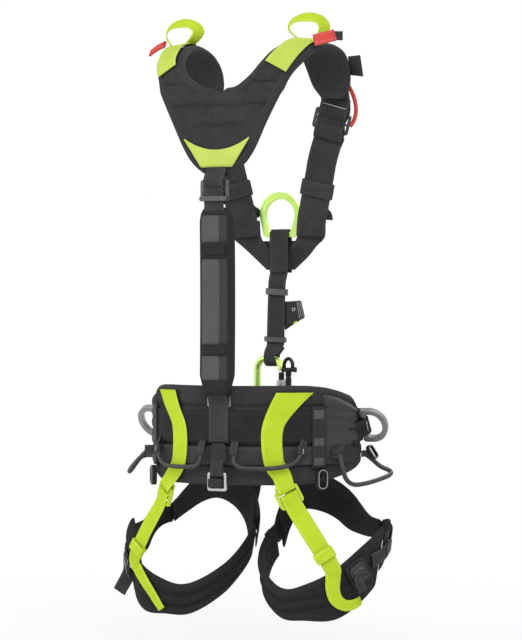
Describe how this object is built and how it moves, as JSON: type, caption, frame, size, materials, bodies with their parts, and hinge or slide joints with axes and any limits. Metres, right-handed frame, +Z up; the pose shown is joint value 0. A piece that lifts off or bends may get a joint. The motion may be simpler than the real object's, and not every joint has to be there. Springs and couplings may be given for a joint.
{
  "type": "tree climbing harness",
  "caption": "Full-body tree climbing saddle: padded waist belt, leg loops and shoulder yoke joined by webbing, with a sternal ring, side D-rings, gear loops and a locking carabiner.",
  "frame": {"origin": "on the wearer's torso axis, at the middle height of the waist belt", "axes": "+Z up, -Y towards the wearer's back, +X towards the wearer's right"},
  "size_m": [0.3928, 0.249, 0.8266],
  "materials": {
    "black_webbing": "woven, matte",
    "charcoal_padding": "padded mesh, matte",
    "lime_webbing": "woven, matte",
    "red_webbing": "woven, matte",
    "lime_alloy": "forged, anodised",
    "grey_alloy": "satin",
    "bright_steel": "polished",
    "black_alloy": "anodised",
    "black_plastic": "moulded"
  },
  "bodies": {
    "harness": {"yoke_pad": "charcoal_padding", "yoke_crescent": "lime_webbing", "tool_loop_right": "red_webbing", "chest_loop": "black_webbing", "front_strap": "black_webbing", "inspection_tag": "black_webbing", "bridge_shackle": "black_alloy", "rear_buckle": "grey_alloy", "rear_strap_upper": "black_webbing", "rear_strap": "black_webbing", "dorsal_pad": "charcoal_padding", "restraint_patch": "black_webbing", "belt_pad": "charcoal_padding", "waist_webbing": "black_webbing", "waist_buckle": "grey_alloy", "gear_band": "black_webbing", "ventral_loop": "black_webbing", "leg_bridge": "black_webbing", "lanyard_loop_left": "lime_webbing", "lanyard_loop_right": "lime_webbing", "shoulder_strap_left": "black_webbing", "shoulder_strap_right": "black_webbing", "shoulder_buckle_left": "grey_alloy", "shoulder_buckle_right": "grey_alloy", "chest_web_left": "black_webbing", "chest_web_right": "black_webbing", "suspension_strap_left": "lime_webbing", "suspension_strap_right": "lime_webbing", "leg_adjuster_left": "lime_alloy", "leg_adjuster_right": "lime_alloy", "d_ring_sleeve_left": "black_webbing", "d_ring_sleeve_right": "black_webbing", "rear_gear_loop_left": "black_plastic", "rear_gear_loop_right": "black_plastic", "leg_pad_left": "charcoal_padding", "leg_pad_right": "charcoal_padding", "leg_front_pad_left": "charcoal_padding", "leg_front_pad_right": "charcoal_padding", "leg_webbing_left": "black_webbing", "leg_webbing_right": "black_webbing", "leg_strap_left": "lime_webbing", "leg_strap_right": "lime_webbing", "leg_buckle_frame_left": "black_alloy", "leg_buckle_frame_right": "black_alloy"},
    "sternal_ring": {"sternal_ring": "lime_alloy"},
    "carabiner": {"carabiner_body": "lime_alloy", "carabiner_pin": "bright_steel"},
    "carabiner_gate": {"carabiner_gate": "black_alloy"},
    "carabiner_sleeve": {"carabiner_sleeve": "bright_steel"},
    "restraint_ring": {"restraint_ring": "bright_steel"},
    "front_slider_upper": {"front_slider_upper": "grey_alloy"},
    "front_slider_lower": {"front_slider_lower": "grey_alloy"},
    "d_ring_left": {"d_ring_left": "grey_alloy"},
    "strap_keeper_left": {"strap_keeper_left": "black_webbing"},
    "leg_buckle_lever_left": {"leg_buckle_lever_left": "grey_alloy"},
    "side_gear_loop_left": {"side_gear_loop_left": "black_plastic"},
    "d_ring_right": {"d_ring_right": "grey_alloy"},
    "strap_keeper_right": {"strap_keeper_right": "black_webbing"},
    "leg_buckle_lever_right": {"leg_buckle_lever_right": "grey_alloy"},
    "side_gear_loop_right": {"side_gear_loop_right": "black_plastic"}
  },
  "joints": [
    {"name": "sternal_ring_swing", "type": "hinge", "parent": "harness", "child": "sternal_ring", "pos_m": [0, 0.1165, 0.28], "axis": [-1, 0, 0], "range_deg": [0, 100]},
    {"name": "carabiner_swing", "type": "hinge", "parent": "harness", "child": "carabiner", "pos_m": [-0.0203, 0.1225, 0.1035], "axis": [0.9659, -0.2588, 0], "range_deg": [-1, 4]},
    {"name": "gate_open", "type": "hinge", "parent": "carabiner", "child": "carabiner_gate", "pos_m": [0.00095, 0.11681, 0.0405], "axis": [-0.2588, -0.9659, 0], "range_deg": [0, 20], "stiffness_Nm_per_rad": 0.08, "springref_deg": -22.92},
    {"name": "sleeve_turn", "type": "hinge", "parent": "carabiner_gate", "child": "carabiner_sleeve", "pos_m": [0.00095, 0.11681, 0.061], "axis": [0, 0, 1], "range_deg": [0, 90]},
    {"name": "restraint_ring_swing", "type": "hinge", "parent": "harness", "child": "restraint_ring", "pos_m": [0, -0.0975, -0.048], "axis": [-1, 0, 0], "range_deg": [0, 90]},
    {"name": "front_slider_upper_slide", "type": "slide", "parent": "harness", "child": "front_slider_upper", "axis": [-0.0611, 0.0623, -0.9962], "range_m": [-0.008, 0.008]},
    {"name": "front_slider_lower_slide", "type": "slide", "parent": "harness", "child": "front_slider_lower", "axis": [-0.0611, 0.0623, -0.9962], "range_m": [-0.008, 0.003]},
    {"name": "d_ring_left_swing", "type": "hinge", "parent": "harness", "child": "d_ring_left", "pos_m": [-0.15668, 0.04444, 0.015], "axis": [-0.0682, -0.555, 0.829], "range_deg": [-70, 70]},
    {"name": "strap_keeper_left_slide", "type": "slide", "parent": "harness", "child": "strap_keeper_left", "axis": [0.223, 0.0743, -0.972], "range_m": [-0.012, 0.012]},
    {"name": "leg_lever_left_lift", "type": "hinge", "parent": "harness", "child": "leg_buckle_lever_left", "pos_m": [-0.16957, -0.03058, -0.18884], "axis": [0.2376, -0.5402, 0.8073], "range_deg": [0, 40], "stiffness_Nm_per_rad": 0.02, "springref_deg": -17.19},
    {"name": "side_loop_left_swing", "type": "hinge", "parent": "harness", "child": "side_gear_loop_left", "pos_m": [-0.144, -0.017, -0.022], "axis": [-0.1007, 0.9941, -0.0398], "range_deg": [-22, 18]},
    {"name": "d_ring_right_swing", "type": "hinge", "parent": "harness", "child": "d_ring_right", "pos_m": [0.15668, 0.04444, 0.015], "axis": [0.0682, -0.555, 0.829], "range_deg": [-70, 70]},
    {"name": "strap_keeper_right_slide", "type": "slide", "parent": "harness", "child": "strap_keeper_right", "axis": [-0.223, 0.0743, -0.972], "range_m": [-0.012, 0.012]},
    {"name": "leg_lever_right_lift", "type": "hinge", "parent": "harness", "child": "leg_buckle_lever_right", "pos_m": [0.16957, -0.03058, -0.18884], "axis": [0.2376, 0.5402, -0.8073], "range_deg": [0, 40], "stiffness_Nm_per_rad": 0.02, "springref_deg": -17.19},
    {"name": "side_loop_right_swing", "type": "hinge", "parent": "harness", "child": "side_gear_loop_right", "pos_m": [0.144, -0.017, -0.022], "axis": [-0.1007, -0.9941, 0.0398], "range_deg": [0, 40]}
  ]
}
